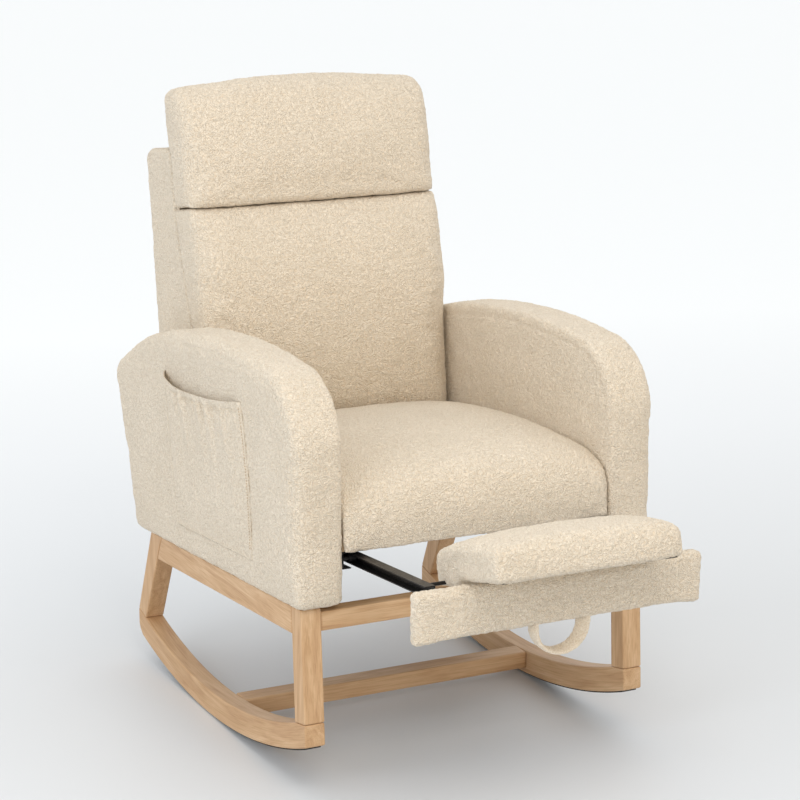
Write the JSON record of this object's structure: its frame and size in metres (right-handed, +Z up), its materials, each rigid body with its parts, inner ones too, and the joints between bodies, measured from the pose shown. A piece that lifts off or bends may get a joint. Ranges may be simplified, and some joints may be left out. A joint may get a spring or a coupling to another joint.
{
  "type": "rocking recliner armchair",
  "caption": "Upholstered rocking armchair on wooden rockers, with arched arms, side pockets, a high padded back that reclines and a footrest on roller slides that is pulled out by a strap.",
  "frame": {"origin": "on the floor, under the centre of the chair's box with the footrest pulled out", "axes": "+Z up, -Y is the front of the chair, +X is to the right of someone facing the chair"},
  "size_m": [0.6646, 1.2057, 1.0345],
  "materials": {
    "light_wood": "satin",
    "black_rubber": "matte",
    "plywood": "matte",
    "cream_boucle": "boucle",
    "spring_steel": "drawn wire",
    "black_lining": "matte",
    "black_steel": "satin",
    "zinc_steel": "satin",
    "black_nylon": "matte"
  },
  "bodies": {
    "chair": {"rocker_left": "light_wood", "rocker_right": "light_wood", "front_post_left": "light_wood", "front_post_right": "light_wood", "rear_post_left": "light_wood", "rear_post_right": "light_wood", "side_rail_left": "light_wood", "side_rail_right": "light_wood", "front_rail": "light_wood", "rear_rail": "light_wood", "stretcher": "light_wood", "rocker_strip_left": "black_rubber", "rocker_strip_right": "black_rubber", "arm_frame_left": "plywood", "arm_frame_right": "plywood", "seat_front_rail": "plywood", "seat_rear_rail": "plywood", "seat_side_rail_left": "plywood", "seat_side_rail_right": "plywood", "arm_cover_left": "cream_boucle", "arm_cover_right": "cream_boucle", "side_pocket_left": "cream_boucle", "side_pocket_right": "cream_boucle", "seat_cushion": "cream_boucle", "seat_spring_1": "spring_steel", "seat_spring_2": "spring_steel", "seat_spring_3": "spring_steel", "seat_spring_4": "spring_steel", "dust_cover": "black_lining", "slide_channel_left": "black_steel", "slide_channel_right": "black_steel", "recline_bracket_left": "black_steel", "recline_bracket_right": "black_steel", "recline_pin_left": "zinc_steel", "recline_pin_right": "zinc_steel"},
    "back": {"back_shell": "cream_boucle", "back_stile_left": "plywood", "back_stile_right": "plywood", "back_top_rail": "plywood", "back_bottom_rail": "plywood", "recline_arm_left": "black_steel", "recline_arm_right": "black_steel", "back_cushion": "cream_boucle", "headrest_cushion": "cream_boucle"},
    "footrest": {"slide_runner_left": "black_steel", "slide_runner_right": "black_steel", "slide_crossbar": "black_steel", "footrest_rod": "zinc_steel", "panel_cover": "cream_boucle", "panel_board": "plywood", "pull_strap": "cream_boucle"},
    "footrest_pad": {"footrest_board": "plywood", "footrest_cushion": "cream_boucle", "pad_bracket_left": "black_steel", "pad_bracket_right": "black_steel"},
    "front_roller_left_body": {"front_roller_left": "black_nylon"},
    "front_roller_right_body": {"front_roller_right": "black_nylon"},
    "rear_roller_left_body": {"rear_roller_left": "black_nylon"},
    "rear_roller_right_body": {"rear_roller_right": "black_nylon"}
  },
  "joints": [
    {"name": "back_recline", "type": "hinge", "parent": "chair", "child": "back", "pos_m": [0, 0.385, 0.372], "axis": [-1, 0, 0], "range_deg": [0, 25]},
    {"name": "footrest_slide", "type": "slide", "parent": "chair", "child": "footrest", "axis": [0, 0.9962, -0.0872], "range_m": [0, 0.135]},
    {"name": "footrest_flip", "type": "hinge", "parent": "footrest", "child": "footrest_pad", "pos_m": [0, -0.43002, 0.3914], "axis": [-1, 0, 0], "range_deg": [0, 171]},
    {"name": "front_roller_left_spin", "type": "hinge", "parent": "chair", "child": "front_roller_left_body", "pos_m": [-0.2112, -0.21781, 0.37765], "axis": [1, 0, 0], "continuous": true},
    {"name": "front_roller_right_spin", "type": "hinge", "parent": "chair", "child": "front_roller_right_body", "pos_m": [0.2112, -0.21781, 0.37765], "axis": [1, 0, 0], "continuous": true},
    {"name": "rear_roller_left_spin", "type": "hinge", "parent": "footrest", "child": "rear_roller_left_body", "pos_m": [-0.2265, -0.09727, 0.3671], "axis": [1, 0, 0], "continuous": true},
    {"name": "rear_roller_right_spin", "type": "hinge", "parent": "footrest", "child": "rear_roller_right_body", "pos_m": [0.2265, -0.09727, 0.3671], "axis": [1, 0, 0], "continuous": true}
  ],
  "couplings": [
    {"joint": "front_roller_left_spin", "follows": "footrest_slide", "rad_per_m": -156.25},
    {"joint": "front_roller_right_spin", "follows": "footrest_slide", "rad_per_m": -156.25},
    {"joint": "rear_roller_left_spin", "follows": "footrest_slide", "rad_per_m": 90.909},
    {"joint": "rear_roller_right_spin", "follows": "footrest_slide", "rad_per_m": 90.909}
  ]
}
